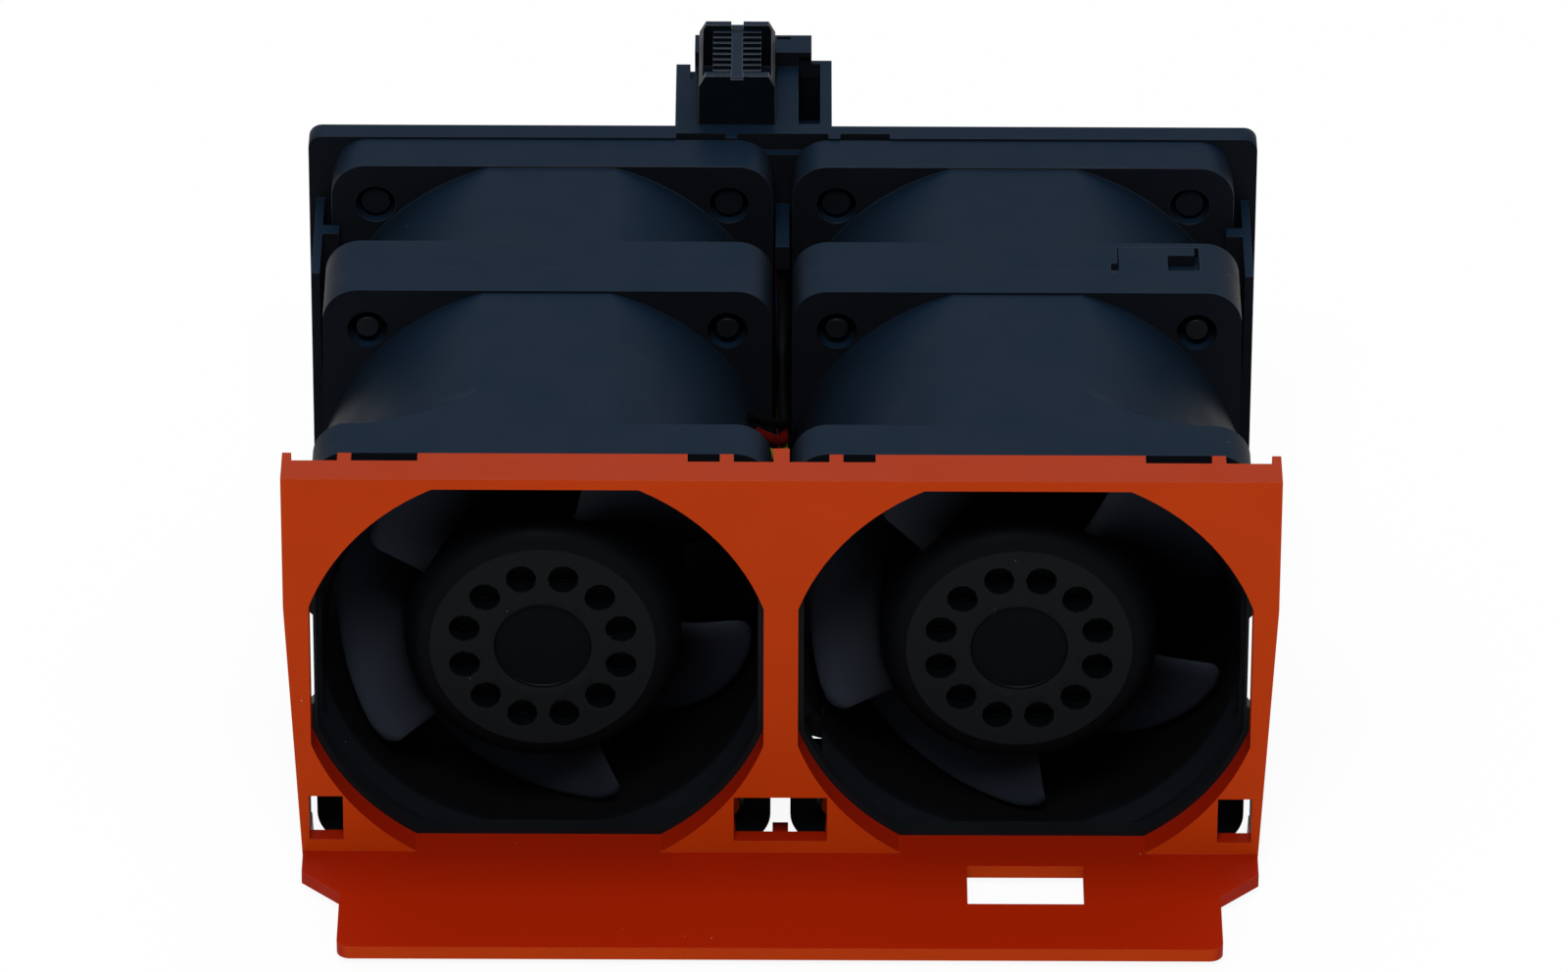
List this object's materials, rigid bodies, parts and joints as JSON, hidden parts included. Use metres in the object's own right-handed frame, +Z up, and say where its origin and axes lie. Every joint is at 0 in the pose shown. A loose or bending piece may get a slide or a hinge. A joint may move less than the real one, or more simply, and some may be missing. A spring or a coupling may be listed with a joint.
{
  "type": "server fan module",
  "caption": "Hot-swap cooling module: side-by-side counter-rotating fans between a front frame with a pull shelf and a rear frame carrying an upward blind-mate plug.",
  "frame": {"origin": "middle of the underside, on the surface the module rests on", "axes": "+X across the two fans, +Y along the air flow from the front frame to the rear frame, +Z up, the way the plug mates"},
  "size_m": [0.0866, 0.0928, 0.0451],
  "materials": {
    "front_plastic": "moulded, fine satin",
    "frame_plastic": "moulded, satin",
    "plug_plastic": "moulded, satin",
    "housing_plastic": "glass-filled moulding, satin",
    "impeller_plastic": "glass-filled moulding, matt",
    "peg_plastic": "moulded",
    "contact_metal": "gold plated",
    "cup_steel": "plated",
    "magnet": "bonded magnet",
    "shaft_steel": "ground",
    "spring_steel": "spring steel",
    "bearing_steel": "ground",
    "core_steel": "laminated",
    "copper": "enamelled wire",
    "board": "solder mask",
    "red_insulation": "insulation",
    "black_insulation": "insulation",
    "yellow_insulation": "insulation",
    "blue_insulation": "insulation"
  },
  "bodies": {
    "frame": {"black_leads": "black_insulation", "blue_leads": "blue_insulation", "front_frame": "front_plastic", "left_front_bearings": "bearing_steel", "left_front_circuit_board": "board", "left_front_housing": "housing_plastic", "left_front_preload_washer": "spring_steel", "left_front_stator_core": "core_steel", "left_front_windings": "copper", "left_joining_pegs": "peg_plastic", "left_rear_bearings": "bearing_steel", "left_rear_circuit_board": "board", "left_rear_housing": "housing_plastic", "left_rear_preload_washer": "spring_steel", "left_rear_stator_core": "core_steel", "left_rear_windings": "copper", "plug_contacts": "contact_metal", "plug_housing": "plug_plastic", "rear_frame": "frame_plastic", "red_leads": "red_insulation", "right_front_bearings": "bearing_steel", "right_front_circuit_board": "board", "right_front_housing": "housing_plastic", "right_front_preload_washer": "spring_steel", "right_front_stator_core": "core_steel", "right_front_windings": "copper", "right_joining_pegs": "peg_plastic", "right_rear_bearings": "bearing_steel", "right_rear_circuit_board": "board", "right_rear_housing": "housing_plastic", "right_rear_preload_washer": "spring_steel", "right_rear_stator_core": "core_steel", "right_rear_windings": "copper", "yellow_leads": "yellow_insulation"},
    "left_front_rotor": {"left_front_impeller": "impeller_plastic", "left_front_rotor_cup": "cup_steel", "left_front_magnet_ring": "magnet", "left_front_shaft": "shaft_steel", "left_front_retaining_clip": "spring_steel"},
    "left_rear_rotor": {"left_rear_impeller": "impeller_plastic", "left_rear_rotor_cup": "cup_steel", "left_rear_magnet_ring": "magnet", "left_rear_shaft": "shaft_steel", "left_rear_retaining_clip": "spring_steel"},
    "right_front_rotor": {"right_front_impeller": "impeller_plastic", "right_front_rotor_cup": "cup_steel", "right_front_magnet_ring": "magnet", "right_front_shaft": "shaft_steel", "right_front_retaining_clip": "spring_steel"},
    "right_rear_rotor": {"right_rear_impeller": "impeller_plastic", "right_rear_rotor_cup": "cup_steel", "right_rear_magnet_ring": "magnet", "right_rear_shaft": "shaft_steel", "right_rear_retaining_clip": "spring_steel"}
  },
  "joints": [
    {"name": "left_front_spin", "type": "hinge", "parent": "frame", "child": "left_front_rotor", "pos_m": [-0.02087, 0.0016, 0.02], "axis": [0, -1, 0], "continuous": true},
    {"name": "left_rear_spin", "type": "hinge", "parent": "frame", "child": "left_rear_rotor", "pos_m": [-0.02087, 0.0156, 0.02], "axis": [0, 1, 0], "continuous": true},
    {"name": "right_front_spin", "type": "hinge", "parent": "frame", "child": "right_front_rotor", "pos_m": [0.02087, 0.0016, 0.02], "axis": [0, -1, 0], "continuous": true},
    {"name": "right_rear_spin", "type": "hinge", "parent": "frame", "child": "right_rear_rotor", "pos_m": [0.02087, 0.0156, 0.02], "axis": [0, 1, 0], "continuous": true}
  ]
}
